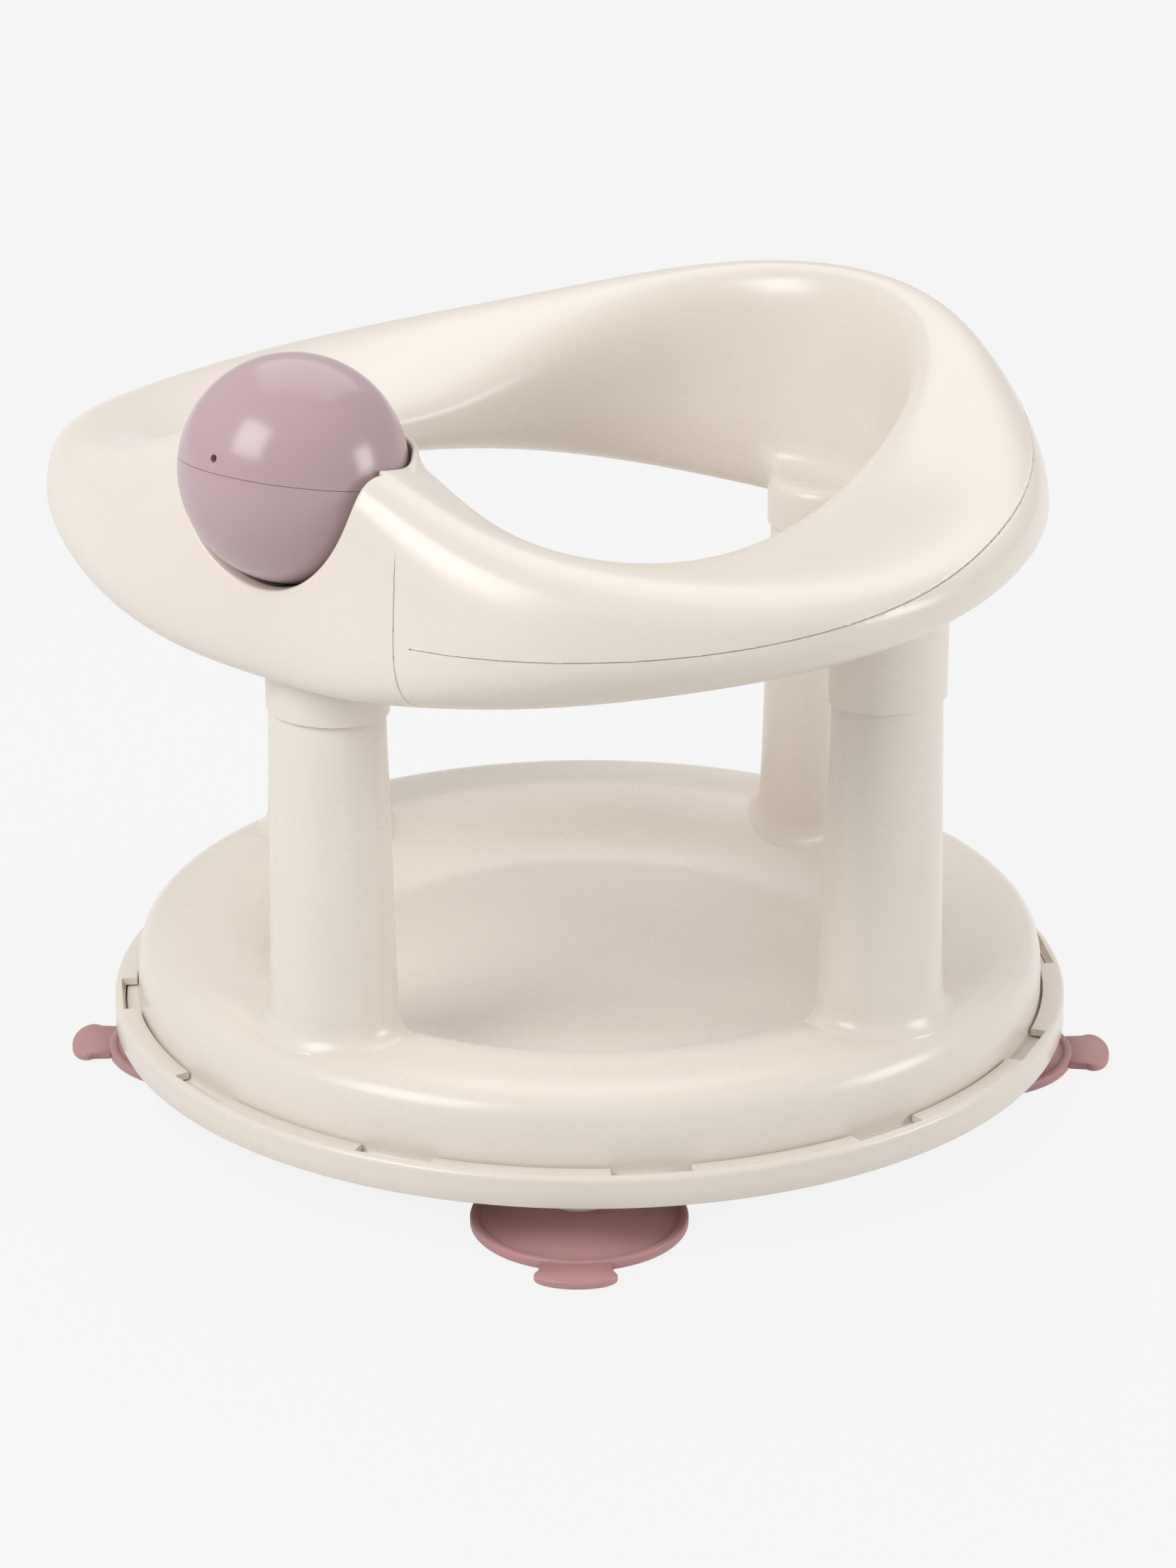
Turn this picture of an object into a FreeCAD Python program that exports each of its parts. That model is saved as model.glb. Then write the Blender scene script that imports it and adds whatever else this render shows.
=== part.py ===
import FreeCAD, Part
import math
import os

# Swivel baby bath seat. Millimetres. +Z is up, the front of the seat is -Y,
# and the origin is the swivel axis at the floor of the bath.

Vector = FreeCAD.Vector
UP = Vector(0, 0, 1)
SIDEWAYS = Vector(1, 0, 0)
CENTRE = Vector(0, 0, 0)

# Gaps, and how far a cut runs past what it cuts
fit_gap = 0.15
running_gap = 0.3
shaft_clearance = 0.06
overrun = 20.0

# Base: a plate on suction cups, inside a rim that holds the seat down
rim_radius = 170.0
rim_bottom = 20.8
rim_height = 11.3
rim_wall = 3.6
rim_rounding = 2.0
lip_thickness = 2.6
slot_count = 12
slot_width = 27.0
slot_depth = 5.0
slot_turn = 18.2
hook_height = 2.0
hook_reach = 2.2
hook_width = 20.0
plate_thickness = 3.0
rib_count = 8
rib_height = 6.0
rib_thickness = 2.4
rib_inset = 74.0
spigot_radius = 18.0
spigot_height = 8.2
spigot_wall = 2.6
socket_radius = 11.3
socket_bottom = 9.6
socket_sink = 4.0
pad_count = 6
pad_inset = 7.8
pad_radius = 3.0
pad_sink = 1.0
pad_proud = 0.3

# Suction cups, one soft moulding each with its pull tab
cup_count = 4
cup_turn = 39.7
cup_inset = 32.4
cup_radius = 36.6
cup_bead_height = 3.7
cup_bead_width = 3.2
cup_bead_chamfer = 0.8
cup_dip = 2.9
cup_hollow = 6.0
cup_crown_radius = 14.0
cup_lip_width = 1.4
cup_steps = 8
cup_sweep_power = 1.6
stem_radius = 5.1
stem_head_radius = 6.9
stem_head_height = 2.6
tab_offset = 43.6
tab_half_width = 13.75
tab_half_depth = 6.35
tab_thickness = 2.7
tab_lift = 0.5
tab_neck_width = 17.2

# Seat pan: a disc with a square shoulder round a shallow dish
pan_inset = 8.6
pan_wall_top = 31.0
pan_groove = 0.9
pan_flange_reach = 4.4
pan_flange_thickness = 2.5
pan_skin = 2.8
pan_shoulder_width = 30.4
pan_crest_height = 56.2
pan_dish_width = 49.0
pan_floor_height = 40.0
pan_steps = 12
shoulder_power = 4.5
hub_wall = 3.0

# Posts between the pan and the ring, oval in section
post_top_across = 20.4
post_top_deep = 17.8
post_foot_across = 23.3
post_foot_deep = 20.2
post_wall = 2.6
post_flare = 4.4
post_flare_height = 8.0
post_flare_shares = (0, 0.25, 0.5, 0.75, 1)
post_sink = 12.0
post_height = 113.4
post_spigot_height = 9.0
post_cap_thickness = 2.6
post_boss_radius = 4.2
post_boss_height = 14.0
snap_reach = 1.2
snap_width = 8.0
snap_height = 3.0
snap_drop = 3.0
foot_plug_height = 10.0
foot_plug_wall = 2.6
foot_plug_cap = 3.0
foot_septum = 3.0

# Ring round the child: its section at the front, the sides and the back. Radii are
# outwards from the circle of the posts, heights are above the tops of the posts.
ring_radius_front = 22.9
ring_radius_side = 2.1
ring_radius_back = 15.6
ring_radius_swell = -6.2
ring_crest_front = 70.1
ring_crest_side = 62.4
ring_crest_back = 92.7
ring_crest_swell = -0.8
ring_foot_front = 14.4
ring_foot_side = 34.0
ring_foot_back = 1.9
ring_foot_swell = 1.6
ring_depth_front = 23.6
ring_depth_side = 42.0
ring_depth_back = 13.5
ring_depth_swell = -0.8
ring_lean_front = -37.7
ring_lean_side = -4.3
ring_lean_back = -0.7
ring_lean_swell = -6.9
ring_power = 2.6

# The squarer part of the ring beside the ball, which fades out over these angles
front_flat = 13.6
front_flat_angle = 30.0
front_hump = 31.6
front_hump_angle = 24.8
front_power = 2.4
front_thinning = 1.4
front_upright = 37.3
front_square_angle = 23.6

# How the ring is made and parted
ring_skin = 2.5
ring_stations = 48
ring_section_stations = 24
ring_surface_passes = 10
ring_seam_rise = 55.7
ring_seam_slope = 4.1
ring_groove_width = 0.5
ring_groove_depth = 0.7
front_seam = 67.0
front_groove_rise = 72.4
collar_proud = 1.3
collar_wall = 2.5
collar_floor_thickness = 3.0
collar_rise_front = 68.4
collar_rise_side = 42.4
collar_rise_back = 10.4
fairing_height = 26.0
fairing_lean = 17.0
fairing_taper = 8.0
fairing_shares = (0, 0.2, 0.4, 0.6, 0.8, 1)
cover_wall_depth = 7.1
cover_step_drop = 29.0

# Ball in the front of the ring, in two halves on an axle
ball_radius = 37.2
ball_inset = 9.5
ball_rise = 85.4
ball_skin = 2.4
ball_tilt = 10.9
ball_gap = 1.2
ball_groove_width = 0.4
ball_groove_depth = 0.6
cradle_skin = 2.0
cradle_rim_rise = 9.0
cradle_rim_slope = 21.8
drain_radius = 1.3
drain_above_seam = 7.0
axle_radius = 2.5
axle_grip = 4.6
axle_boss_wall = 2.4
axle_sleeve_wall = 2.2

# Screws
screw_radius = 1.5
screw_head_radius = 2.8
screw_head_height = 2.0
foot_screw_length = 12.0
ring_screw_length = 22.0
ring_screw_rise = 10.0
ring_boss_radius = 4.4
ring_screw_angles = (50.0, 128.0, -128.0, -50.0)

# Worked out from the sizes above
pan_wall_radius = rim_radius - pan_inset
pan_crest_radius = pan_wall_radius - pan_shoulder_width
pan_floor_radius = pan_crest_radius - pan_dish_width
pad_circle = rim_radius - pad_inset
cup_circle = rim_radius - cup_inset
rib_circle = rim_radius - rib_inset
rim_top = rim_bottom + rim_height
rim_inner = rim_radius - rim_wall
lip_bottom = rim_top - lip_thickness
lip_inner = pan_wall_radius + pan_groove
plate_bottom = rim_bottom + hook_height
plate_top = plate_bottom + plate_thickness
spigot_top = plate_top + spigot_height
pan_bottom = plate_top + pad_proud + running_gap
flange_top = pan_bottom + pan_flange_thickness
post_circle = pan_crest_radius
post_seam = pan_crest_height + post_height
collar_floor = post_seam + post_spigot_height
ring_seam_height = post_seam + ring_seam_rise
front_groove_top = post_seam + front_groove_rise
cavity_radius = ball_radius + ball_gap
ball_reach = post_circle + ring_radius_front - ball_inset
ball_height = post_seam + ball_rise
cover_split = ball_reach + cover_wall_depth
cover_step_height = ball_height - cover_step_drop
cradle_rim_height = ball_height + cradle_rim_rise
axle_half_length = cavity_radius + axle_grip
ball_centre = Vector(0, -ball_reach, ball_height)
post_turns = {"front": 0, "right": 90, "back": 180, "left": 270}
collar_rises = {"front": collar_rise_front, "right": collar_rise_side,
                "back": collar_rise_back, "left": collar_rise_side}


def turned(shape, angle, axis=UP, about=CENTRE):
    """A copy of a shape, turned by an angle in degrees."""
    copy = shape.copy()
    copy.rotate(about, axis, angle)
    return copy


def moved(shape, place):
    """A copy of a shape, moved by a vector."""
    copy = shape.copy()
    copy.translate(place)
    return copy


def around(shape, count, first):
    """Equally spaced copies of a shape round the swivel axis."""
    return [turned(shape, first + 360.0 * step / count) for step in range(count)]


def block(low, high):
    """A box between two corners."""
    size = high.sub(low)
    return Part.makeBox(size.x, size.y, size.z, low)


def rod(radius, bottom, top, x=0.0, y=0.0):
    """An upright cylinder."""
    return Part.makeCylinder(radius, top - bottom, Vector(x, y, bottom))


def crossbar(radius, start, end):
    """A cylinder along X through the centre of the ball."""
    return Part.makeCylinder(radius, end - start, ball_centre.add(Vector(start, 0, 0)), SIDEWAYS)


def spun(edges):
    """A solid of revolution about the swivel axis from the edges of its section."""
    return Part.Face(Part.Wire(edges)).revolve(CENTRE, UP, 360)


def path(points):
    """Straight edges through (radius, height) points."""
    corners = [Vector(radius, 0, height) for radius, height in points]
    return [Part.LineSegment(start, end).toShape() for start, end in zip(corners, corners[1:])]


def curve(points):
    """One smooth edge through (radius, height) points."""
    spline = Part.BSplineCurve()
    spline.interpolate([Vector(radius, 0, height) for radius, height in points])
    return spline.toShape()


def save(name, shape):
    """Write one sub-part."""
    os.makedirs("parts", exist_ok=True)
    shape.exportStep("parts/%s.step" % name)


# Base

def make_base_plate():
    plate = rod(rim_inner - fit_gap, plate_bottom, plate_top).fuse(rod(spigot_radius, plate_top, spigot_top))
    plate = plate.cut(rod(spigot_radius - spigot_wall, plate_bottom - overrun, spigot_top + overrun))
    rib_bottom = plate_bottom - rib_height
    round_rib = rod(rib_circle, rib_bottom, plate_bottom)
    round_rib = round_rib.cut(rod(rib_circle - rib_thickness, rib_bottom - overrun, plate_bottom + overrun))
    spoke = block(Vector(spigot_radius, -rib_thickness / 2, rib_bottom),
                  Vector(rib_circle, rib_thickness / 2, plate_bottom))
    sockets = around(rod(socket_radius, socket_bottom, plate_top, cup_circle), cup_count, cup_turn)
    plate = plate.multiFuse([round_rib] + around(spoke, rib_count, cup_turn) + sockets)
    bore = rod(stem_radius + fit_gap, socket_bottom - overrun, plate_top + overrun, cup_circle)
    sink = rod(stem_head_radius + fit_gap, plate_top - socket_sink, plate_top + overrun, cup_circle)
    recess = rod(pad_radius + fit_gap, plate_top - pad_sink, plate_top + overrun, pad_circle)
    return plate.cut(around(bore.fuse(sink), cup_count, cup_turn) + around(recess, pad_count, slot_turn))


def make_rim():
    body = rod(rim_radius, rim_bottom, rim_top)
    body = body.makeFillet(rim_rounding, [max(body.Edges, key=lambda edge: edge.CenterOfMass.z)])
    body = body.cut([rod(rim_inner, rim_bottom - overrun, lip_bottom),
                     rod(lip_inner, rim_bottom - overrun, rim_top + overrun)])
    slot = block(Vector(lip_inner - slot_depth, -slot_width / 2, lip_bottom),
                 Vector(lip_inner + slot_depth, slot_width / 2, rim_top + overrun))
    hook = rod(rim_radius - rim_wall / 2, rim_bottom, plate_bottom)
    hook = hook.cut(rod(rim_inner - hook_reach, rim_bottom - overrun, plate_bottom + overrun))
    hook = hook.common(block(Vector(0, -hook_width / 2, rim_bottom),
                             Vector(rim_radius, hook_width / 2, plate_bottom)))
    return body.cut(around(slot, slot_count, slot_turn)).multiFuse(around(hook, slot_count, slot_turn))


def make_glide_pads():
    pad = rod(pad_radius, plate_top - pad_sink, plate_top + pad_proud, pad_circle)
    return Part.makeCompound(around(pad, pad_count, slot_turn))


def cup_section():
    """Section of a suction cup: lip, bead, swept top, stem and the hollow underneath."""
    bead_inner = cup_radius - cup_bead_width
    lip_inner_radius = cup_radius - cup_bead_chamfer - cup_lip_width
    steps = [step / cup_steps for step in range(cup_steps + 1)]
    top = [(bead_inner + (cup_crown_radius - bead_inner) * share,
            cup_dip + (socket_bottom - cup_dip) * share ** cup_sweep_power) for share in steps]
    hollow = [(lip_inner_radius * share, cup_hollow * (1 + math.cos(math.pi * share)) / 2) for share in steps]
    head_bottom = plate_top - socket_sink
    stem = [(stem_radius, socket_bottom), (stem_radius, head_bottom), (stem_head_radius, head_bottom),
            (stem_head_radius, head_bottom + stem_head_height), (0, head_bottom + stem_head_height),
            (0, cup_hollow)]
    bead = [(lip_inner_radius, 0), (cup_radius - cup_bead_chamfer, 0), (cup_radius, cup_bead_chamfer),
            (cup_radius, cup_bead_height - cup_bead_chamfer),
            (cup_radius - cup_bead_chamfer, cup_bead_height),
            (bead_inner + cup_bead_chamfer, cup_bead_height), (bead_inner, cup_dip)]
    return path(bead) + [curve(top)] + path(top[-1:] + stem) + [curve(hollow)]


def make_suction_cup():
    """A cup with its stem up through the base plate and its pull tab outwards along +X."""
    cup = spun(cup_section())
    tab_bottom = Vector(tab_offset, 0, tab_lift)
    outline = Part.Ellipse(tab_bottom, tab_half_width, tab_half_depth).toShape()
    outline.rotate(tab_bottom, UP, 90)
    tab = Part.Face(Part.Wire(outline)).extrude(Vector(0, 0, tab_thickness))
    neck = block(Vector(cup_radius - cup_bead_chamfer, -tab_neck_width / 2, tab_lift),
                 Vector(tab_offset, tab_neck_width / 2, tab_lift + tab_thickness))
    return moved(cup.multiFuse([tab, neck]), Vector(cup_circle, 0, 0))


# Seat pan

def pan_outline():
    """The pan's top from the swivel axis out to the foot of its shoulder."""
    rise = pan_crest_height - pan_floor_height
    reach = pan_crest_radius - pan_floor_radius
    steps = [step / pan_steps for step in range(pan_steps + 1)]
    dish = [(pan_floor_radius + reach * share, pan_floor_height + rise * (1 - math.cos(math.pi * share)) / 2)
            for share in steps]
    width = pan_wall_radius - pan_crest_radius
    drop = pan_crest_height - pan_wall_top
    shoulder = []
    for share in steps[1:]:
        across, up = math.sin(math.pi / 2 * share), math.cos(math.pi / 2 * share)
        square = (across ** shoulder_power + abs(up) ** shoulder_power) ** (1 / shoulder_power)
        shoulder.append((pan_crest_radius + width * across / square, pan_wall_top + drop * up / square))
    return dish + shoulder


def shifted(points, distance):
    """An open outline moved sideways, to the right of its direction when positive."""
    result = []
    for index, (radius, height) in enumerate(points):
        before = points[max(index - 1, 0)]
        after = points[min(index + 1, len(points) - 1)]
        across, up = after[0] - before[0], after[1] - before[1]
        size = math.hypot(across, up)
        result.append((radius + distance * up / size, height - distance * across / size))
    return result


def pan_space(outward):
    """The solid space under the pan's top, with its surface moved outward by a gap."""
    top = shifted(pan_outline(), -outward)
    first, last = top[0], top[-1]
    floor = pan_bottom
    edges = path([(0, floor), (0, first[1]), first]) + [curve(top)]
    return spun(edges + path([last, (last[0], floor), (0, floor)]))


def pan_under_post(outward):
    """The space under the pan's top, placed as it lies under a post drawn on the swivel axis."""
    return moved(pan_space(outward), Vector(0, post_circle, 0))


def make_seat_pan():
    top = pan_outline()
    under = shifted(top, pan_skin)
    flange = pan_wall_radius + pan_flange_reach
    inner = under[-1][0]
    edges = path([(0, under[0][1]), (0, pan_floor_height), top[0]]) + [curve(top)]
    edges += path([top[-1], (pan_wall_radius, flange_top), (flange, flange_top), (flange, pan_bottom),
                   (inner, pan_bottom), under[-1]])
    edges += [curve(under[::-1])] + path([under[0], (0, under[0][1])])
    pan = spun(edges)
    bore = spigot_radius + shaft_clearance
    hub = rod(bore + hub_wall, pan_bottom, pan_floor_height - pan_skin / 2)
    pan = pan.fuse(hub).cut(rod(bore, pan_bottom - overrun, pan_floor_height - pan_skin))
    plug_top = pan_crest_height + foot_plug_height
    plug = post_body(post_wall + fit_gap, pan_floor_height, plug_top)
    hollow = post_body(post_wall + fit_gap + foot_plug_wall, pan_bottom, plug_top - foot_plug_cap)
    hole = rod(screw_radius + fit_gap, pan_bottom, plug_top + overrun)
    places = post_turns.values()
    plug = plug.cut(pan_under_post(-pan_skin / 2))
    pan = pan.multiFuse([at_post(plug, angle) for angle in places])
    return pan.cut([at_post(hollow.fuse(hole), angle) for angle in places])


# Posts

def at_post(shape, angle):
    """A shape drawn on the swivel axis, carried out to a post's place."""
    return turned(moved(shape, Vector(0, -post_circle, 0)), angle)


def oval(across, deep, height):
    """An ellipse round the post's axis; across runs along X."""
    wire = Part.Wire(Part.Ellipse(Vector(0, 0, height), max(across, deep), min(across, deep)).toShape())
    if across < deep:
        wire.rotate(CENTRE, UP, 90)
    return wire


def post_oval(height, inset):
    """The post's tapered section at a height, drawn in by an inset."""
    share = (post_seam - height) / (post_seam - pan_crest_height)
    across = post_top_across + (post_foot_across - post_top_across) * share
    deep = post_top_deep + (post_foot_deep - post_top_deep) * share
    return oval(across - inset, deep - inset, height)


def post_body(inset, bottom, top):
    """A length of the tapered post."""
    return Part.makeLoft([post_oval(bottom, inset), post_oval(top, inset)], True, True)


def oval_column(grow, bottom, top):
    """A straight oval column, larger than the post's top by a distance."""
    sections = [oval(post_top_across + grow, post_top_deep + grow, height) for height in (bottom, top)]
    return Part.makeLoft(sections, True, True)


def snaps(grow, slack):
    """The two snap tongues on the sides of a spigot, drawn in by a slack."""
    reach = post_top_across + grow + snap_reach
    top = collar_floor - snap_drop - slack
    width = snap_width / 2 - slack
    return block(Vector(-reach, -width, top - snap_height + 2 * slack), Vector(reach, width, top))


def make_post():
    foot = pan_crest_height - post_sink
    shaft = post_body(0, foot, post_seam)
    heights = [pan_crest_height + post_flare_height * share for share in post_flare_shares]
    spread = [post_flare * (1 - (height - pan_crest_height) / post_flare_height) ** 2 for height in heights]
    flare = Part.makeLoft([post_oval(foot, -post_flare)]
                          + [post_oval(height, -grow) for height, grow in zip(heights, spread)], True, True)
    spigot_grow = collar_proud - collar_wall - fit_gap
    spigot = oval_column(spigot_grow, post_seam, collar_floor)
    post = shaft.multiFuse([flare, spigot]).cut(pan_under_post(fit_gap))
    septum_bottom = pan_crest_height + foot_plug_height
    septum_top = septum_bottom + foot_septum
    cap_bottom = collar_floor - post_cap_thickness
    shoulder = post_seam - post_cap_thickness
    post = post.cut([post_body(post_wall, foot - overrun, septum_bottom),
                     post_body(post_wall, septum_top, shoulder),
                     oval_column(spigot_grow - post_wall, shoulder, cap_bottom)])
    boss = rod(post_boss_radius, septum_bottom, septum_bottom + post_boss_height)
    hole = rod(screw_radius, septum_bottom, septum_bottom + foot_screw_length)
    core = oval_column(spigot_grow - post_wall, shoulder, collar_floor)
    return post.multiFuse([boss, snaps(spigot_grow, fit_gap).cut(core)]).cut(hole)


# Ring

def blend(angle, front, side, back, swell):
    """A size round the ring from its values at the front, the sides and the back."""
    mean = (front + back) / 4 + side / 2
    waist = (front + back) / 4 - side / 2
    lean = (front - back) / 2
    return (mean + lean * math.cos(angle) + waist * math.cos(2 * angle)
            + swell * (math.cos(3 * angle) - math.cos(angle)))


def near_front(angle, spread):
    """One at the front, falling away on both sides over a spread in degrees."""
    offset = math.degrees(math.remainder(angle, 2 * math.pi))
    return math.exp(-(offset / spread) ** 2)


def ring_radius(angle):
    """Distance of the ring's middle from the swivel axis, without the flat of its front."""
    reach = blend(angle, ring_radius_front, ring_radius_side, ring_radius_back, ring_radius_swell)
    return post_circle + reach


def ring_section(angle, inset):
    """Points round the ring's section at an angle from the front, drawn in by an inset."""
    square = near_front(angle, front_square_angle)
    radius = ring_radius(angle) - front_flat * near_front(angle, front_flat_angle)
    crest = blend(angle, ring_crest_front, ring_crest_side, ring_crest_back, ring_crest_swell)
    crest += front_hump * near_front(angle, front_hump_angle)
    foot = blend(angle, ring_foot_front, ring_foot_side, ring_foot_back, ring_foot_swell)
    depth = blend(angle, ring_depth_front, ring_depth_side, ring_depth_back, ring_depth_swell)
    depth -= front_thinning * square + inset
    lean = blend(angle, ring_lean_front, ring_lean_side, ring_lean_back, ring_lean_swell)
    lean = math.radians(lean + front_upright * square)
    power = ring_power + front_power * square
    middle = post_seam + (crest + foot) / 2
    half = (crest - foot) / 2 - inset
    points = []
    for station in range(ring_section_stations):
        turn = 2 * math.pi * station / ring_section_stations
        size = (abs(math.cos(turn)) ** power + abs(math.sin(turn)) ** power) ** (1 / power)
        across = depth * math.cos(turn) / size
        up = half * math.sin(turn) / size
        reach = radius + across * math.cos(lean) + up * math.sin(lean)
        height = middle + up * math.cos(lean) - across * math.sin(lean)
        points.append(Vector(reach * math.sin(angle), -reach * math.cos(angle), height))
    return points


def smoothed(rows):
    """Each point of a closed row averaged with its neighbours, as a cubic spline does."""
    triples = zip(rows[-1:] + rows[:-1], rows, rows[1:] + rows[:1])
    return [[(before + here * 4 + after) / 6 for before, here, after in zip(*triple)] for triple in triples]


def flipped(rows):
    return [list(column) for column in zip(*rows)]


def closed_tube(rows):
    """A solid whose one smooth surface passes through a grid of points closed both ways."""
    poles = rows
    for _ in range(ring_surface_passes):
        reached = flipped(smoothed(flipped(smoothed(poles))))
        poles = [[pole + aim - got for pole, aim, got in zip(*row)] for row in zip(poles, rows, reached)]
    along, across = len(rows), len(rows[0])
    surface = Part.BSplineSurface()
    surface.buildFromPolesMultsKnots(poles, [1] * (along + 1), [1] * (across + 1), list(range(along + 1)),
                                     list(range(across + 1)), True, True, 3, 3)
    return Part.Solid(Part.Shell([surface.toShape()]))


def ring_space(inset):
    """The ring as one solid, with its surface drawn in by an inset."""
    turns = [2 * math.pi * station / ring_stations for station in range(ring_stations)]
    return closed_tube([ring_section(turn, inset) for turn in turns])


def above_seam(lift, reach):
    """The space above the seam between the ring's shells."""
    space = block(Vector(-reach, -reach, ring_seam_height + lift),
                  Vector(reach, reach, ring_seam_height + reach))
    return turned(space, ring_seam_slope, SIDEWAYS, Vector(0, 0, ring_seam_height))


def collar_space(name, inset):
    """A collar's outline drawn in by an inset; the one at the back leans out into the backrest."""
    grow = collar_proud - inset
    top = post_seam + collar_rises[name]
    column = oval_column(grow, post_seam, top)
    if name != "back":
        return column
    sections = []
    for share in fairing_shares:
        swing = (1 - math.cos(math.pi * share)) / 2
        size = grow - fairing_taper * swing
        section = oval(post_top_across + size, post_top_deep + size, top + fairing_height * share)
        section.translate(Vector(0, -fairing_lean * swing, 0))
        sections.append(section)
    return column.fuse(Part.makeLoft(sections, True, True))


def collar(name):
    """The sleeve under the ring that snaps over a post, with its floor."""
    floor_top = collar_floor + collar_floor_thickness
    reach = rim_radius
    over_floor = block(Vector(-reach, -reach, floor_top), Vector(reach, reach, floor_top + reach))
    hollow = collar_space(name, collar_wall)
    lower = oval_column(collar_proud - collar_wall, post_seam, collar_floor)
    recess = snaps(collar_proud - collar_wall, 0).cut(lower)
    sleeve = collar_space(name, 0).cut([lower, hollow.common(over_floor), recess])
    return at_post(sleeve, post_turns[name])


def collar_throat(name):
    """The opening that a collar makes in the ring's underside."""
    return at_post(collar_space(name, collar_wall), post_turns[name])


def screw_place(angle):
    """Where a ring screw stands, at the middle of the ring's section."""
    turn = math.radians(angle)
    x, y = ring_radius(turn) * math.sin(turn), -ring_radius(turn) * math.cos(turn)
    return Vector(x, y, ring_seam_height + y * math.tan(math.radians(ring_seam_slope)))


def ring_screw_bores(angle):
    """The hole and head recess for a ring screw, open at the ring's underside."""
    place = screw_place(angle)
    seat = place.z - ring_screw_rise
    recess = rod(screw_head_radius + fit_gap, post_seam - overrun, seat, place.x, place.y)
    return recess.fuse(rod(screw_radius + fit_gap, seat, seat + ring_screw_length, place.x, place.y))


def make_ring():
    """The ring's wall with its collars and bosses, as upper shell, lower shell and front part."""
    outer = ring_space(0)
    inner = ring_space(ring_skin)
    throats = [collar_throat(name) for name in post_turns]
    wall = outer.cut([inner] + throats)
    bosses = []
    for angle in ring_screw_angles:
        place = screw_place(angle)
        boss = rod(ring_boss_radius, post_seam, post_seam + ring_crest_back, place.x, place.y)
        bosses.append(boss.common(outer))
    collars = [collar(name) for name in post_turns]
    wall = wall.multiFuse(collars + bosses).cut([ring_screw_bores(angle) for angle in ring_screw_angles])
    reach = rim_radius + overrun
    half = ring_groove_width / 2
    hole_side = rod(post_circle + ring_radius_back, post_seam - overrun, post_seam + reach)
    skin = outer.cut([ring_space(ring_groove_depth), hole_side])
    around_seam = above_seam(-half, reach).cut(above_seam(half, reach + overrun))
    front = block(Vector(-front_seam, -reach, 0), Vector(front_seam, 0, post_seam + reach))
    beside = block(Vector(-front_seam - half, -reach, 0), Vector(front_seam + half, 0, front_groove_top))
    beside = beside.cut(block(Vector(half - front_seam, -reach - overrun, -overrun),
                              Vector(front_seam - half, overrun, front_groove_top + overrun)))
    wall = wall.cut(skin.common(around_seam.cut(front).fuse(beside)))
    rest = wall.cut(front)
    above = above_seam(0, reach)
    return rest.common(above), rest.cut(above), wall.common(front), outer


# Front housing of the ball

def cradle_bulge(radius):
    """The part of a sphere round the ball that stands behind it, under the cradle's sloping rim."""
    reach = rim_radius
    lid = block(Vector(-reach, -reach, 0), Vector(reach, reach, reach))
    lid = turned(lid, cradle_rim_slope, SIDEWAYS)
    lid = moved(lid, Vector(0, -ball_reach, cradle_rim_height))
    behind = block(Vector(-reach, -ball_reach, 0), Vector(reach, 0, ball_height + reach))
    return Part.makeSphere(radius, ball_centre).common(behind).cut(lid)


def make_housing(front_wall, outer):
    """The front cover and the ball cradle, parted behind the cover's wall and at the axle."""
    shell = cavity_radius + cradle_skin
    pocket = Part.makeSphere(shell, ball_centre).common(outer).fuse(cradle_bulge(shell))
    bosses = [crossbar(axle_radius + axle_boss_wall, ball_radius, axle_half_length + axle_boss_wall),
              crossbar(axle_radius + axle_boss_wall, -axle_half_length - axle_boss_wall, -ball_radius)]
    bosses = [boss.common(outer) for boss in bosses]
    housing = front_wall.multiFuse([pocket] + bosses)
    housing = housing.cut([Part.makeSphere(cavity_radius, ball_centre),
                           crossbar(axle_radius + fit_gap, -axle_half_length, axle_half_length)])
    reach = rim_radius + overrun
    ahead = block(Vector(-reach, -reach, 0), Vector(reach, -cover_split, ball_height + reach))
    ahead = ahead.fuse(block(Vector(-reach, -reach, cover_step_height),
                             Vector(reach, -ball_reach, ball_height + reach)))
    return housing.common(ahead), housing.cut(ahead)


# Ball

def make_ball():
    """The upper and lower halves, parted on a plane through the axle."""
    ball = Part.makeSphere(ball_radius, ball_centre)
    sleeve_bore = axle_radius + shaft_clearance
    sleeve = crossbar(sleeve_bore + axle_sleeve_wall, -ball_radius, ball_radius).common(ball)
    body = ball.cut(Part.makeSphere(ball_radius - ball_skin, ball_centre)).fuse(sleeve)
    body = body.cut(crossbar(sleeve_bore, -ball_radius - overrun, ball_radius + overrun))
    drain = Part.makeCylinder(drain_radius, ball_radius + overrun, ball_centre, Vector(0, -1, 0))
    drain = turned(drain, -drain_above_seam, SIDEWAYS, ball_centre)
    drain = drain.cut(Part.makeSphere(ball_radius - ball_skin - ball_gap, ball_centre))
    half_groove = Vector(0, 0, ball_groove_width / 2)
    reach = ball_radius + overrun
    corner = Vector(reach, reach, 0)
    groove = block(ball_centre.sub(corner).sub(half_groove), ball_centre.add(corner).add(half_groove))
    groove = groove.cut(Part.makeSphere(ball_radius - ball_groove_depth, ball_centre))
    upper_space = block(ball_centre.sub(corner), ball_centre.add(Vector(reach, reach, reach)))
    body = body.cut([drain, groove])
    halves = body.common(upper_space), body.cut(upper_space)
    return [turned(half, -ball_tilt, SIDEWAYS, ball_centre) for half in halves]


# Screws

def screw(length, seat, x=0.0, y=0.0):
    """A screw with its head under a seat and its shank up from it."""
    head = rod(screw_head_radius, seat - screw_head_height, seat, x, y)
    return head.fuse(rod(screw_radius, seat - screw_head_height, seat + length, x, y))


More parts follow.
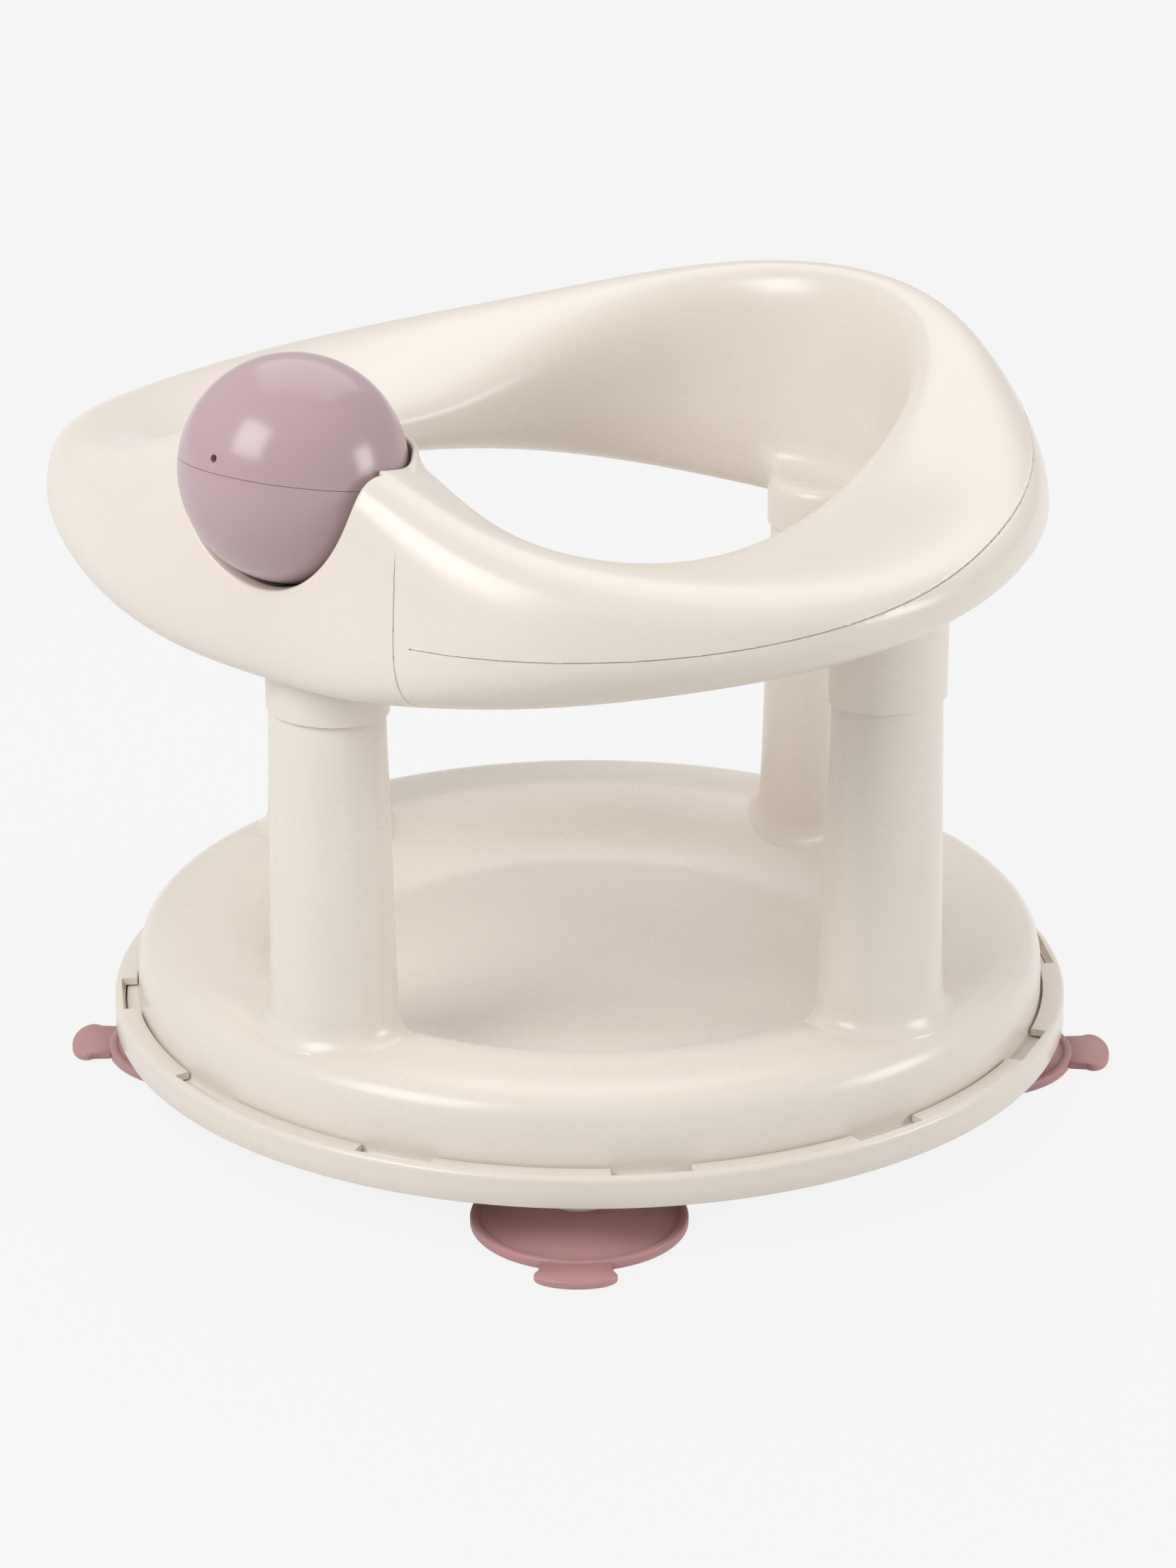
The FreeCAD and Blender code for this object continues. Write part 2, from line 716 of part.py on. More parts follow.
def make_foot_screws():
    seat = pan_crest_height + foot_plug_height - foot_plug_cap
    length = foot_plug_cap + foot_screw_length
    return Part.makeCompound([at_post(screw(length, seat), angle) for angle in post_turns.values()])


def make_ring_screws():
    screws = []
    for angle in ring_screw_angles:
        place = screw_place(angle)
        screws.append(screw(ring_screw_length - fit_gap, place.z - ring_screw_rise, place.x, place.y))
    return Part.makeCompound(screws)


def main():
    save("base_plate", make_base_plate())
    save("retaining_rim", make_rim())
    save("glide_pads", make_glide_pads())
    for number, cup in enumerate(around(make_suction_cup(), cup_count, cup_turn), 1):
        save("suction_cup_%d" % number, cup)
    save("seat_pan", make_seat_pan())
    post = make_post()
    for name, angle in post_turns.items():
        save("post_%s" % name, at_post(post, angle))
    upper, lower, front_wall, outer = make_ring()
    cover, cradle = make_housing(front_wall, outer)
    save("ring_upper_shell", upper)
    save("ring_lower_shell", lower)
    save("front_cover", cover)
    save("ball_cradle", cradle)
    upper_half, lower_half = make_ball()
    save("ball_upper_half", upper_half)
    save("ball_lower_half", lower_half)
    save("ball_axle", crossbar(axle_radius, -axle_half_length, axle_half_length))
    save("foot_screws", make_foot_screws())
    save("ring_screws", make_ring_screws())


main()
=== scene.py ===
import math

import bmesh
import bpy
import numpy as np
from bpy.props import FloatProperty, FloatVectorProperty, PointerProperty
from mathutils import Matrix, Vector


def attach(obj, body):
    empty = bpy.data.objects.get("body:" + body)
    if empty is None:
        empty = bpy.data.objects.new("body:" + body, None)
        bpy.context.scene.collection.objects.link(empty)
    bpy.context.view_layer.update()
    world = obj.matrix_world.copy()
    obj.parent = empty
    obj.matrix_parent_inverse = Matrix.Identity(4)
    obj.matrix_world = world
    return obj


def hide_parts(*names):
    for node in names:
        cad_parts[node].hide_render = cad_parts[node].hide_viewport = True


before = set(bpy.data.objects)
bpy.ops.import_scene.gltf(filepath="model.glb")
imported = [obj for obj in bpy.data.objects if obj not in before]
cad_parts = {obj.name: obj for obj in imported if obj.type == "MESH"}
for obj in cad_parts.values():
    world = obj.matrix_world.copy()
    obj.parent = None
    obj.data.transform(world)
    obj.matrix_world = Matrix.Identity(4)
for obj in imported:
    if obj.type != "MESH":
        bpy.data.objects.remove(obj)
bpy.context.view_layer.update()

bl_info = {
    "name": "Swivel Bath Seat",
    "version": (1, 0, 0),
    "blender": (4, 5, 0),
    "location": "3D View > Sidebar > Bath Seat",
    "description": "Models a swivel bath seat with its ring, ball, posts, pan and suction cups",
    "category": "Object",
}

# The shapes are worked out in millimetres; +Z is up, the front is -Y and the origin is the swivel axis.
MM = 0.001
# Points nearer than this to a plane count as on it; edges that a cut leaves shorter than the other are merged
ON_PLANE, MERGED = 0.01, 1e-6

# Ring: values at the front, the sides and the back, and a swell between them
RING_RADIUS = (153.9, 133.1, 146.6, -6.2)
RING_CREST = (239.7, 232.0, 262.3, -0.8)
RING_FOOT = (184.0, 203.6, 171.5, 1.6)
RING_DEPTH = (23.6, 42.0, 13.5, -0.8)
RING_LEAN = (-37.7, -4.3, -0.7, -6.9)
RING_POWER = 2.6
# Beside the ball the ring is squarer, more upright and higher; each fades out over its angle
FRONT_FLAT, FRONT_FLAT_ANGLE = 13.6, 30.0
FRONT_HUMP, FRONT_HUMP_ANGLE = 31.6, 24.8
FRONT_POWER, FRONT_THINNING, FRONT_UPRIGHT, FRONT_SQUARE_ANGLE = 2.4, 1.4, 37.3, 23.6
# The hoop that the rough form starts from, and the grain of the skins drawn over it
HOOP_RADIUS, HOOP_THICKNESS = 140.0, 30.0
RING_VOXEL, FRONT_VOXEL = 1.35, 0.8
# Seam between the two shells: its height at the swivel axis, its rise towards the back in degrees, and
# the sectors its flat face is cut into
SEAM_HEIGHT, SEAM_SLOPE, SEAM_SECTORS = 229.2, 5.5, 12
# Upright seams beside the ball: their distance from the middle at a height, and how they lean together.
# The front part lies wholly ahead of FRONT_END; the groove fades out below its top.
FRONT_SEAM, FRONT_SEAM_HEIGHT, FRONT_SEAM_LEAN, FRONT_END = 60.0, 218.0, 0.154, -60.0
FRONT_GROOVE_TOP, FRONT_GROOVE_FADE, FRONT_SPARE = 242.0, 8.0, 12.0
# Grooves: half their width, their depth, the circle outside which the level one runs, and its left end
GROOVE_HALF, GROOVE_DEPTH, GROOVE_CIRCLE, GROOVE_LEFT_END = 0.28, 0.8, 146.6, -75.0
# Parting of cover and cradle: a point's y and z, and the slope
COVER_SPLIT = (-144.4, 255.0, 0.109)

# Posts and their collars
POST_CIRCLE = 131.0
POST_TOP = (20.4, 17.8)
POST_FOOT = (23.3, 20.2)
POST_SEAM = 169.6
POST_FLARE, POST_FLARE_HEIGHT = 4.4, 8.0
COLLAR_PROUD = 1.3
# Name, turn, top of the collar inside the ring, and fillet between the two
COLLARS = (("front", 0.0, 236.0, 4.0), ("right", 90.0, 212.0, 4.0), ("back", 180.0, 187.0, 11.0),
           ("left", 270.0, 212.0, 4.0))
COLLAR_FADE = 5.0
POST_STEPS = 120

# Ball and the pocket that holds it
BALL_CENTRE = (0.0, -144.4, 255.0)
BALL_TILT = 10.9
BALL_GROOVE = 0.75
AXLE_BORE = 2.62
DRAIN_TURN = -7.0
POCKET_RADIUS = 38.5
POCKET_WALL = 2.0
# The pocket's rim rises from a point, given by y and z, up to the lid's height
POCKET_LID, POCKET_LID_START, POCKET_LID_RISE = 261.0, (-122.0, 260.5), 0.6
# The pocket's mouth widens towards the ring's outer face
POCKET_FLARE, POCKET_FLARE_DEPTH = 1.9, 4.5

# Pan
PAN_WALL, PAN_WALL_TOP = 161.4, 31.0
PAN_CREST, PAN_CREST_HEIGHT = 131.0, 56.2
PAN_FLOOR, PAN_FLOOR_HEIGHT = 82.0, 40.0
PAN_SKIN = 2.8
SHOULDER_POWER = 4.5
PAN_FLANGE = ((161.6, 29.4), (162.2, 28.9), (165.6, 28.9), (165.8, 28.6), (165.8, 26.6), (165.6, 26.4))

# Rim: its section from the foot up to the rounded top, and from there inwards and down
RIM_OUTSIDE = ((166.4, 20.8), (169.4, 20.8), (169.8, 21.0), (170.0, 21.4), (170.0, 26.0), (170.0, 29.9))
RIM_INSIDE = ((165.0, 32.1), (162.7, 32.1), (162.4, 32.0), (162.3, 31.7), (162.3, 29.8), (162.5, 29.5),
              (164.5, 29.5), (166.4, 29.5), (166.4, 25.0))
RIM_TOP, RIM_ROUNDING = (168.0, 30.1), 2.0
SLOT_COUNT, SLOT_TURN = 12, 18.24
SLOT_PLACE, SLOT_SIZE = (164.3, 31.5), 6.0

# Suction cups, each worked out about its own axis and moved out to the circle
CUP_CIRCLE, CUP_TURN = 137.6, 39.74
CUP_INSIDE, CUP_INSIDE_RADIUS = ((0.4, 5.98), (6.0, 5.6)), 34.4
CUP_LIP = ((35.7, 0.0), (36.2, 0.15), (36.5, 0.5), (36.6, 0.9), (36.6, 2.8), (36.45, 3.3), (36.1, 3.6),
           (35.6, 3.7), (34.4, 3.7), (33.9, 3.55), (33.5, 3.2), (33.1, 2.95))
CUP_NECK = ((5.1, 9.6), (5.1, 12.0), (5.1, 21.8), (6.9, 21.8), (6.9, 24.4))
# Pull tab: its middle, half its length and width at the knob, and its layers as inset and height
TAB_MIDDLE, TAB_KNOB = 43.6, (6.35, 13.75)
TAB_LAYERS = ((0.7, 0.5), (0.2, 0.75), (0.0, 1.2), (0.0, 2.4), (0.25, 2.9), (0.8, 3.2))

# Tones of a moulding, as shares of its colour: its mottle, its flow marks and its worn edges
MOTTLE_TONES, FLOW_TONE, EDGE_TONE = (0.985, 1.012), 0.972, 1.06

# Studio, in metres: each lamp's direction from the seat, distance, size and power
LAMPS = (("key", (-0.109, -0.777, 0.619), 1.6, 0.8, 13.0),
         ("side", (0.861, 0.454, 0.24), 1.6, 0.55, 7.0),
         ("overhead", (-0.3, 0.42, 0.86), 1.5, 1.5, 8.0))
LAMP_AIM = (0, 0, 0.15)
SKY_COLOUR, SKY_STRENGTH = (1.0, 0.99, 0.97, 1.0), 0.55
FLOOR_DROP, FLOOR_TONE, FLOOR_GLOW = 0.0004, 0.75, 0.94
# Camera: its turn in degrees, its pitch in radians, and its place to the right, ahead and above
CAMERA_TURN, CAMERA_PITCH, CAMERA_PLACE = 41.19, 0.37001, (-0.00058, -1.5436, 0.7028)


class BathSeatSizes(bpy.types.PropertyGroup):
    """Sizes that can be set apart from the moulded forms."""

    ball_radius: FloatProperty(name="Ball radius", description="Radius of the play ball", default=0.0372,
                               min=0.03, max=0.0378, unit="LENGTH")
    drain_radius: FloatProperty(name="Drain hole", description="Radius of the ball's drain hole", default=0.0013,
                                min=0.0005, max=0.004, unit="LENGTH")
    slot_width: FloatProperty(name="Slot width", description="Width of a slot in the rim", default=0.027,
                              min=0.01, max=0.04, unit="LENGTH")
    floor_size: FloatProperty(name="Floor size", description="Width of the studio floor", default=16.0,
                              min=2.0, max=40.0, unit="LENGTH")
    lens: FloatProperty(name="Lens", description="Focal length of the camera", default=107.33,
                        min=20.0, max=300.0, unit="CAMERA")


class BathSeatColours(bpy.types.PropertyGroup):
    """Colours of the mouldings and of the studio."""

    cream: FloatVectorProperty(name="Cream plastic", description="Pan, posts, ring and base", subtype="COLOR",
                               size=3, default=(0.78, 0.714, 0.643), min=0.0, max=1.0)
    mauve: FloatVectorProperty(name="Mauve plastic", description="Ball", subtype="COLOR",
                               size=3, default=(0.47, 0.334, 0.362), min=0.0, max=1.0)
    cups: FloatVectorProperty(name="Soft cups", description="Suction cups", subtype="COLOR",
                              size=3, default=(0.5, 0.275, 0.276), min=0.0, max=1.0)
    backdrop: FloatVectorProperty(name="Backdrop", description="Floor and background", subtype="COLOR",
                                  size=3, default=(0.931, 0.931, 0.931), min=0.0, max=1.0)


# Mesh tools

def deselect():
    if bpy.context.object and bpy.context.object.mode != "OBJECT":
        bpy.ops.object.mode_set(mode="OBJECT")
    bpy.ops.object.select_all(action="DESELECT")


def pick(*objects):
    deselect()
    for obj in objects:
        obj.select_set(True)
    bpy.context.view_layer.objects.active = objects[0]


def named(name):
    obj = bpy.context.object
    obj.name = name
    obj.data.name = name
    return obj


def select_where(obj, test, kind="FACE"):
    """In edit mode, select the faces or edges that a test of their middle and normal picks."""
    bpy.ops.mesh.select_mode(type=kind)
    bpy.ops.mesh.select_all(action="DESELECT")
    mesh = bmesh.from_edit_mesh(obj.data)
    if kind == "FACE":
        for face in mesh.faces:
            face.select = bool(test(face.calc_center_median() / MM, face.normal))
    else:
        for edge in mesh.edges:
            edge.select = bool(test(edge))
    mesh.select_flush_mode()
    bmesh.update_edit_mesh(obj.data)


def loft(name, rows, closed=False):
    """A surface drawn up row by row from a circle; it is capped at both ends, or joined end to end when closed."""
    count = len(rows[0])
    deselect()
    bpy.ops.mesh.primitive_circle_add(vertices=count, radius=1.0, fill_type="NOTHING")
    obj = named(name)
    for vertex, point in zip(obj.data.vertices, rows[0]):
        vertex.co = Vector(point) * MM
    bpy.ops.object.mode_set(mode="EDIT")
    bpy.ops.mesh.select_mode(type="VERT")
    bpy.ops.mesh.select_all(action="SELECT")
    if not closed:
        bpy.ops.mesh.edge_face_add()
        bpy.ops.mesh.select_all(action="SELECT")
        bpy.ops.mesh.select_mode(type="EDGE")
    mesh = bmesh.from_edit_mesh(obj.data)
    mesh.verts.ensure_lookup_table()
    where = {tuple(vertex.co): number for number, vertex in enumerate(mesh.verts)}
    for row in rows[1:]:
        bpy.ops.mesh.extrude_edges_move()
        mesh = bmesh.from_edit_mesh(obj.data)
        placed = {}
        for vertex in mesh.verts:
            if vertex.select:
                number = where[tuple(vertex.co)]
                vertex.co = Vector(row[number]) * MM
                placed[tuple(vertex.co)] = number
        where = placed
    if closed:
        mesh = bmesh.from_edit_mesh(obj.data)
        for edge in mesh.edges:
            edge.select = edge.is_boundary
        bmesh.update_edit_mesh(obj.data)
        bpy.ops.mesh.bridge_edge_loops()
    else:
        bpy.ops.mesh.edge_face_add()
    bpy.ops.mesh.select_all(action="SELECT")
    bpy.ops.mesh.normals_make_consistent(inside=False)
    bpy.ops.object.mode_set(mode="OBJECT")
    return obj


def ring_row(radius, height, count, turn=0.0):
    """A level circle of points about the swivel axis."""
    steps = [math.radians(turn) + 2 * math.pi * step / count for step in range(count)]
    return [(radius * math.cos(a), radius * math.sin(a), height) for a in steps]


def post_row(halves, height, count=POST_STEPS):
    """A level oval of points about the front post's axis."""
    steps = [2 * math.pi * step / count for step in range(count)]
    return [(halves[0] * math.cos(a), -POST_CIRCLE + halves[1] * math.sin(a), height) for a in steps]


def grown(halves, more):
    return [half + more for half in halves]


def bisect(obj, point, normal, clear_outer=False):
    """Cut a whole piece by a plane, and drop its part behind the plane or, when asked, ahead of it."""
    pick(obj)
    bpy.ops.object.mode_set(mode="EDIT")
    bpy.ops.mesh.select_all(action="SELECT")
    bpy.ops.mesh.bisect(plane_co=Vector(point) * MM, plane_no=normal, use_fill=True,
                        clear_inner=not clear_outer, clear_outer=clear_outer, threshold=MERGED)
    bpy.ops.object.mode_set(mode="OBJECT")
    return obj


def copied(obj, name):
    pick(obj)
    bpy.ops.object.duplicate()
    return named(name)


def joined(name, *objects):
    pick(*objects)
    bpy.ops.object.join()
    return named(name)


def removed(*objects):
    for obj in objects:
        bpy.data.objects.remove(obj)


def modified(obj, kind, **settings):
    """Add a modifier, set it and apply it."""
    pick(obj)
    bpy.ops.object.modifier_add(type=kind)
    modifier = obj.modifiers[-1]
    for name, value in settings.items():
        setattr(modifier, name, value)
    bpy.ops.object.modifier_apply(modifier=modifier.name)
    return obj


def cut_by(obj, tool):
    modified(obj, "BOOLEAN", operation="DIFFERENCE", solver="EXACT", object=tool)
    removed(tool)
    return obj


def smooth(obj, angle=35.0):
    pick(obj)
    bpy.ops.object.shade_smooth_by_angle(angle=math.radians(angle))
    return obj


def turned(obj, angle, axis="Z"):
    """Turn a piece's mesh about the origin, leaving its object unturned."""
    obj.data.transform(Matrix.Rotation(math.radians(angle), 4, axis))
    return obj


def moved(obj, place):
    """Shift a piece's mesh, leaving its object at the origin."""
    obj.data.transform(Matrix.Translation(Vector(place) * MM))
    return obj


def fixed(obj):
    """Put a new piece's place, turn and scale into its mesh."""
    pick(obj)
    bpy.ops.object.transform_apply(location=True, rotation=True, scale=True)
    return obj


def finished(obj, body, slot, material, *nodes):
    """Give a piece its material and its body, and hide the CAD nodes it stands for; the slot is not used."""
    obj.data.materials.clear()
    obj.data.materials.append(material)
    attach(obj, body)
    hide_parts(*nodes)
    return obj


# Ring form

def blend(angle, front, side, back, swell):
    """A value that passes evenly from the front over the side to the back, with a swell between them."""
    mean = (front + back) / 4 + side / 2
    waist = (front + back) / 4 - side / 2
    lean = (front - back) / 2
    return mean + lean * np.cos(angle) + waist * np.cos(2 * angle) + swell * (np.cos(3 * angle) - np.cos(angle))


def ring_shape(angle):
    """Middle radius and height, half depth, half height, lean and squareness of the ring's section."""
    degrees = np.degrees(np.arctan2(np.sin(angle), np.cos(angle)))
    square = np.exp(-(degrees / FRONT_SQUARE_ANGLE) ** 2)
    radius = blend(angle, *RING_RADIUS) - FRONT_FLAT * np.exp(-(degrees / FRONT_FLAT_ANGLE) ** 2)
    crest = blend(angle, *RING_CREST) + FRONT_HUMP * np.exp(-(degrees / FRONT_HUMP_ANGLE) ** 2)
    foot = blend(angle, *RING_FOOT)
    depth = blend(angle, *RING_DEPTH) - FRONT_THINNING * square
    lean = np.radians(blend(angle, *RING_LEAN) + FRONT_UPRIGHT * square)
    return radius, (crest + foot) / 2, depth, (crest - foot) / 2, lean, RING_POWER + FRONT_POWER * square


def oval_gap(across, up, half_across, half_up, power):
    """Roughly the distance from an oval's edge, negative inside."""
    a, b = np.abs(across / half_across) + 1e-9, np.abs(up / half_up) + 1e-9
    size = (a ** power + b ** power) ** (1 / power)
    slope = size ** (1 - power) * np.hypot(a ** (power - 1) / half_across, b ** (power - 1) / half_up)
    return (size - 1) / slope


def ring_gap(p):
    """Gap between points and the plain ring's skin."""
    angle = np.arctan2(p[:, 0], -p[:, 1])
    radius, middle, depth, half, lean, power = ring_shape(angle)
    out, up = np.hypot(p[:, 0], p[:, 1]) - radius, p[:, 2] - middle
    across = out * np.cos(lean) - up * np.sin(lean)
    along = out * np.sin(lean) + up * np.cos(lean)
    return oval_gap(across, along, depth, half, power)


def joint(a, b, size):
    """The nearer of two gaps, with a fillet where they meet."""
    h = np.maximum(size - np.abs(a - b), 0.0)
    return np.minimum(a, b) - h * h / (4 * size)


def meet(a, b, size):
    """The farther of two gaps, with a rounding where they meet."""
    return -joint(-a, -b, size)


def collar_gap(p, turn, top):
    """Gap between points and the skin of one collar."""
    turn = math.radians(turn)
    x = p[:, 0] * math.cos(turn) + p[:, 1] * math.sin(turn)
    y = p[:, 1] * math.cos(turn) - p[:, 0] * math.sin(turn) + POST_CIRCLE
    side = oval_gap(x, y, *grown(POST_TOP, COLLAR_PROUD), 2.0)
    return meet(side, p[:, 2] - top, COLLAR_FADE)


def form_gap(p):
    """The whole ring with its collars, the ball's pocket and its rim."""
    gap = ring_gap(p)
    for _, turn, top, fillet in COLLARS:
        gap = joint(gap, collar_gap(p, turn, top), fillet)
    ball = np.linalg.norm(p - np.array(BALL_CENTRE), axis=1)
    bulge = meet(ball - POCKET_RADIUS - POCKET_WALL, BALL_CENTRE[1] - p[:, 1], 1.0)
    y, z = POCKET_LID_START
    bulge = meet(bulge, np.maximum(p[:, 2] - z - POCKET_LID_RISE * (p[:, 1] - y), p[:, 2] - POCKET_LID), 1.0)
    mouth = POCKET_FLARE * np.clip(1 + gap / POCKET_FLARE_DEPTH, 0.0, 1.0)
    gap = joint(gap, bulge, 3.0)
    return meet(gap, POCKET_RADIUS + np.where(p[:, 1] < BALL_CENTRE[1], mouth, 0.0) - ball, 1.3)


def settle(obj, gap):
    """Bring every vertex onto the surface where the gap is nought, by a few Newton steps of limited length."""
    rounds, probe, flattest, longest = 5, 0.02, 0.2, 1.5
    count = len(obj.data.vertices)
    flat = np.empty(count * 3)
    obj.data.vertices.foreach_get("co", flat)
    p = flat.reshape(-1, 3) / MM
    for _ in range(rounds):
        here = gap(p)
        slope = np.stack([(gap(p + probe * axis) - gap(p - probe * axis)) / (2 * probe) for axis in np.eye(3)], 1)
        steep = np.maximum((slope ** 2).sum(1), flattest)
        move = -(here / steep)[:, None] * slope
        length = np.maximum(np.linalg.norm(move, axis=1), 1e-9)
        p = p + move * np.minimum(1.0, longest / length)[:, None]
    obj.data.vertices.foreach_set("co", (p * MM).ravel())
    obj.data.update()
    return obj


def relaxed(obj, repeat):
    pick(obj)
    bpy.ops.object.mode_set(mode="EDIT")
    bpy.ops.mesh.select_all(action="SELECT")
    bpy.ops.mesh.vertices_smooth(factor=0.5, repeat=repeat)
    bpy.ops.object.mode_set(mode="OBJECT")
    return obj


def rough_form():
    """A hoop, four columns and half a ball, joined where the ring, the collars and the pocket will be."""
    deselect()
    bpy.ops.mesh.primitive_torus_add(major_segments=180, minor_segments=48,
                                     major_radius=HOOP_RADIUS * MM, minor_radius=HOOP_THICKNESS * MM)
    hoop = named("form")
    for vertex in hoop.data.vertices:
        x, y, z = vertex.co
        angle = math.atan2(x, -y)
        turn = math.atan2(z, math.hypot(x, y) - HOOP_RADIUS * MM)
        radius, middle, depth, half, lean, power = ring_shape(angle)
        size = (abs(math.cos(turn)) ** power + abs(math.sin(turn)) ** power) ** (1 / power)
        across, up = depth * math.cos(turn) / size, half * math.sin(turn) / size
        reach = radius + across * math.cos(lean) + up * math.sin(lean)
        height = middle + up * math.cos(lean) - across * math.sin(lean)
        vertex.co = Vector((reach * math.sin(angle), -reach * math.cos(angle), height)) * MM
    parts = [hoop]
    for _, turn, top, _ in COLLARS:
        rows = [post_row(grown(POST_TOP, COLLAR_PROUD), height, 64) for height in (160.0, 190.0, top)]
        parts.append(turned(loft("collar", rows), turn))
    bulge = ball_space("bulge", POCKET_RADIUS + POCKET_WALL)
    bisect(bulge, BALL_CENTRE, (0, 1, 0))
    bisect(bulge, (0, 0, POCKET_LID), (0, 0, 1), clear_outer=True)
    return joined("form", *parts, bulge)


def ball_space(name, radius):
    """A ball round the play ball's middle."""
    deselect()
    bpy.ops.mesh.primitive_uv_sphere_add(segments=96, ring_count=48, radius=radius * MM,
                                         location=Vector(BALL_CENTRE) * MM)
    return fixed(named(name))


def shaped(form, voxel):
    """Turn a rough form into one even skin and settle it on the surface worked out."""
    modified(form, "REMESH", mode="VOXEL", voxel_size=voxel * MM)
    relaxed(form, 4)
    settle(form, form_gap)
    relaxed(form, 2)
    settle(form, form_gap)
    return bisect(form, (0, 0, POST_SEAM), (0, 0, 1))


def side_normal(side):
    """Away from the front part, across one of its two upright seams, which lean together at the top."""
    return Vector((side, 0, FRONT_SEAM_LEAN)).normalized()


def past_side(point):
    """How far a point lies outside the nearer upright seam."""
    side = math.copysign(1.0, point.x)
    return (point - Vector((FRONT_SEAM * side, 0, FRONT_SEAM_HEIGHT))).dot(side_normal(side))


def front_form(rough):
    """The front of the ring, between the two upright seams beside the ball."""
    for side in (-1, 1):
        bisect(rough, ((FRONT_SEAM + FRONT_SPARE) * side, 0, 0), (-side, 0, 0))
    bisect(rough, (0, FRONT_END, 0), (0, 1, 0), clear_outer=True)
    modified(rough, "REMESH", mode="VOXEL", voxel_size=FRONT_VOXEL * MM)
    cut_by(rough, ball_space("pocket", POCKET_RADIUS))
    form = shaped(rough, FRONT_VOXEL)
    for side in (-1, 1):
        bisect(form, (FRONT_SEAM * side, 0, FRONT_SEAM_HEIGHT), -side_normal(side))
    return form


def without_front(form):
    """The rest of the ring, cut off at the two upright seams."""
    pick(form)
    bpy.ops.object.mode_set(mode="EDIT")
    for side in (-1, 1):
        select_where(form, lambda middle, normal: middle.y < FRONT_END)
        bpy.ops.mesh.bisect(plane_co=Vector((FRONT_SEAM * side, 0, FRONT_SEAM_HEIGHT)) * MM,
                            plane_no=side_normal(side), threshold=MERGED)
    select_where(form, lambda middle, normal: middle.y < FRONT_END and past_side(middle) < 0)
    bpy.ops.mesh.delete(type="FACE")
    for side in (-1, 1):
        select_where(form, lambda edge: edge.is_boundary and edge.verts[0].co.x * side > 0, "EDGE")
        bpy.ops.mesh.edge_face_add()
    bpy.ops.object.mode_set(mode="OBJECT")
    return form


def groove(obj, on_plane, inward, weight):
    """Inset the flat cut faces that lie on a plane and draw their outer edge back, so that a seam shows."""
    pick(obj)
    bpy.ops.object.mode_set(mode="EDIT")
    bpy.ops.mesh.select_mode(type="FACE")
    bpy.ops.mesh.select_all(action="DESELECT")
    mesh = bmesh.from_edit_mesh(obj.data)
    rim = set()
    for face in mesh.faces:
        if len(face.verts) > 20 and all(on_plane(v.co / MM) for v in face.verts):
            face.select = True
            rim |= {tuple(v.co) for v in face.verts}
    mesh.select_flush_mode()
    bmesh.update_edit_mesh(obj.data)
    bpy.ops.mesh.inset(thickness=GROOVE_DEPTH * MM, depth=0.0)
    mesh = bmesh.from_edit_mesh(obj.data)
    for vertex in mesh.verts:
        if tuple(vertex.co) in rim:
            vertex.co += inward(vertex.co / MM) * (GROOVE_HALF * MM * weight(vertex.co / MM))
    bmesh.update_edit_mesh(obj.data)
    bpy.ops.object.mode_set(mode="OBJECT")
    return obj


def side_groove(obj, toward_front):
    """The groove of the upright seam on the +X side, which fades out near the top; the other seam is a butt joint."""
    def back(point):
        return side_normal(math.copysign(1.0, point.x)) * (-1 if toward_front else 1)

    def weight(point):
        return max(0.0, min(1.0, (FRONT_GROOVE_TOP - point.z) / FRONT_GROOVE_FADE)) if point.x > 0 else 0.0

    return groove(obj, lambda point: abs(past_side(point)) < ON_PLANE and point.y < FRONT_END, back, weight)


def seam_normal():
    slope = math.radians(SEAM_SLOPE)
    return Vector((0, -math.sin(slope), math.cos(slope)))


def left_end(point):
    """Where the photograph shows no groove beside the ball."""
    return point.x < 0 and point.y < GROOVE_LEFT_END


def level_groove(obj, up):
    """The groove round the outside of the ring; beside the hole and at the left end the seam is a plain butt joint."""
    normal = seam_normal()

    def on_seam(point):
        return abs((point - Vector((0, 0, SEAM_HEIGHT))).dot(normal)) < ON_PLANE

    def weight(point):
        return 1.0 if math.hypot(point.x, point.y) > GROOVE_CIRCLE and not left_end(point) else 0.0

    pick(obj)
    bpy.ops.object.mode_set(mode="EDIT")
    for step in range(SEAM_SECTORS):
        turn = math.pi * (step + 0.5) / SEAM_SECTORS
        select_where(obj, lambda middle, facing: on_seam(middle) and abs(facing.dot(normal)) > 0.99)
        bpy.ops.mesh.bisect(plane_co=(0, 0, 0), plane_no=(math.cos(turn), math.sin(turn), 0), threshold=MERGED)
    bpy.ops.object.mode_set(mode="OBJECT")
    return groove(obj, on_seam, lambda point: normal if up else -normal, weight)


# Materials

def set_inputs(tree, node, inputs):
    """Set a node's inputs; one that is given another node's socket is linked to it."""
    for name, value in inputs.items():
        if isinstance(value, bpy.types.NodeSocket):
            tree.links.new(value, node.inputs[name])
        else:
            node.inputs[name].default_value = value
    return node


def added(tree, kind, inputs=None, **settings):
    node = tree.nodes.new(kind)
    for name, value in settings.items():
        setattr(node, name, value)
    return set_inputs(tree, node, inputs or {})


def noise(tree, place, scale, detail, roughness, distortion=0.0):
    inputs = {"Vector": place, "Scale": scale, "Detail": detail, "Roughness": roughness, "Distortion": distortion}
    return added(tree, "ShaderNodeTexNoise", inputs).outputs["Fac"]


def ramp(tree, source, low, high, start=0.0, end=1.0):
    """Map a value from the range start to end onto low to high."""
    inputs = {"Value": source, "From Min": start, "From Max": end, "To Min": low, "To Max": high}
    return added(tree, "ShaderNodeMapRange", inputs).outputs["Result"]


